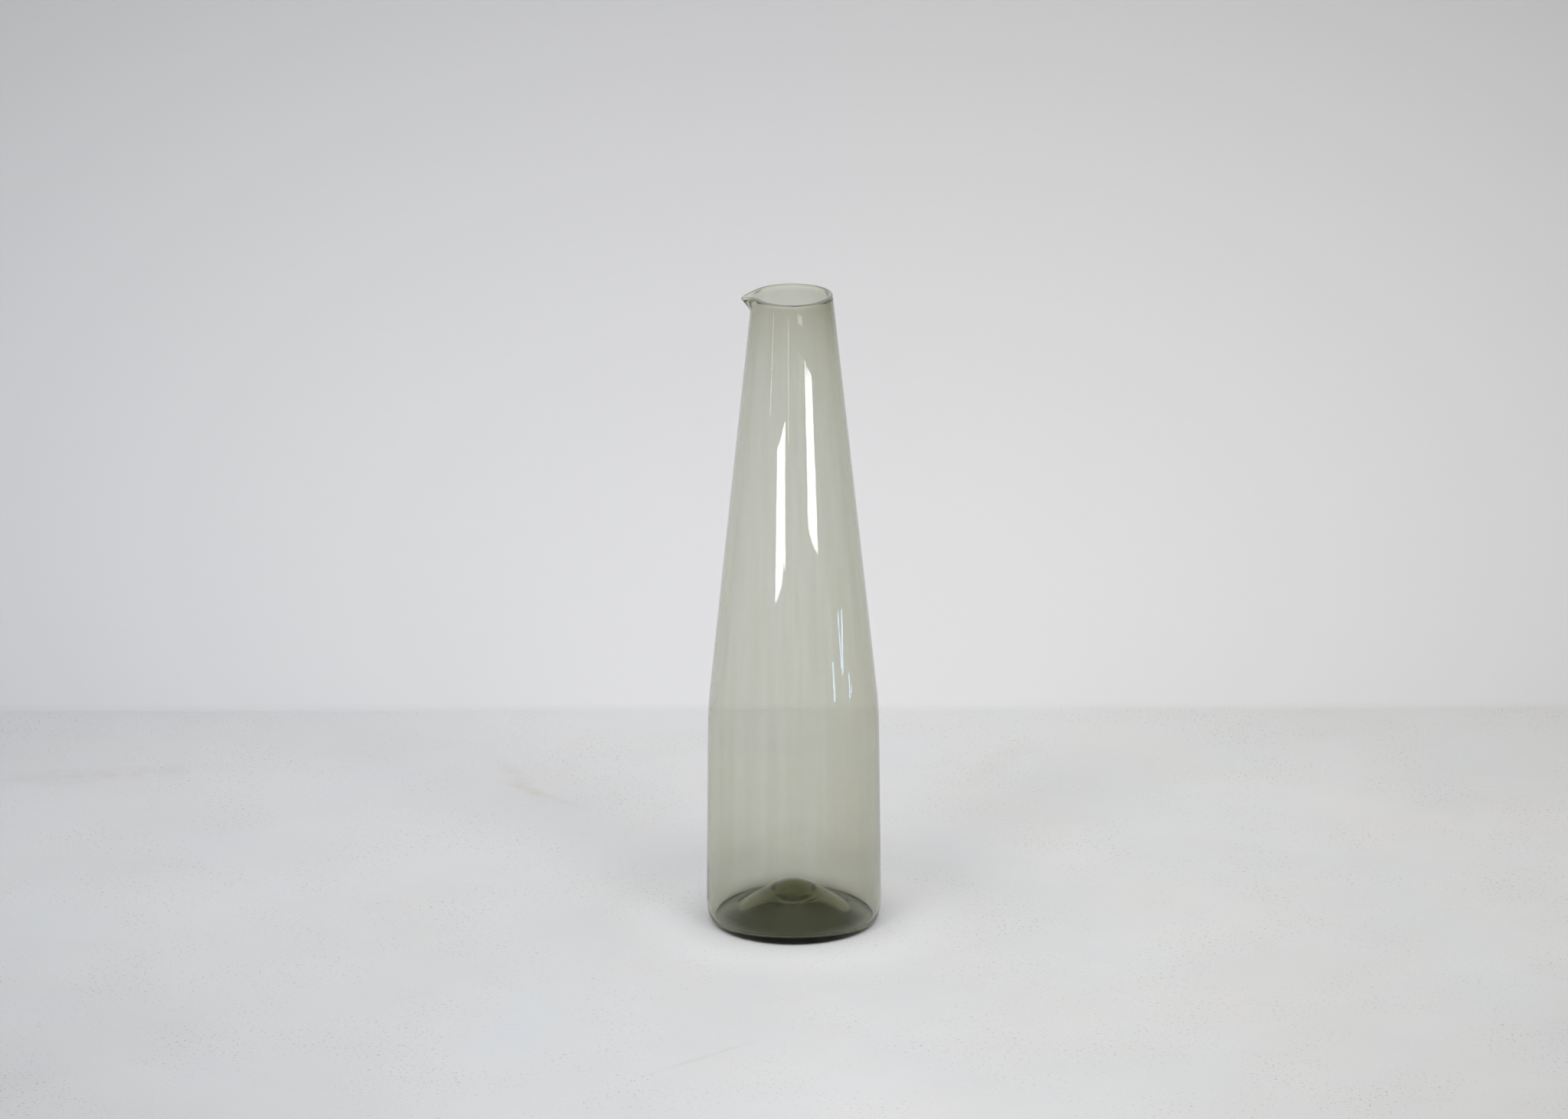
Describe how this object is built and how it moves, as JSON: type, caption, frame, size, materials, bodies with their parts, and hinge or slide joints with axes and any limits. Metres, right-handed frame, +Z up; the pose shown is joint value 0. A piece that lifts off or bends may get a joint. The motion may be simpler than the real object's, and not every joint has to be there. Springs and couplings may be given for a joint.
{
  "type": "water carafe",
  "caption": "Tall one-piece blown-glass water carafe: straight body, long tapering neck, small pulled pouring lip and a kicked-up base.",
  "frame": {"origin": "centre of the ring that the carafe stands on, in the plane of the surface it stands on", "axes": "+Z up along the vessel's axis, -X towards the pouring lip"},
  "size_m": [0.0782, 0.0782, 0.289],
  "materials": {
    "smoke_glass": "clear smoke grey-green, fire-polished"
  },
  "bodies": {
    "root": {"glass_body": "smoke_glass"}
  },
  "joints": []
}
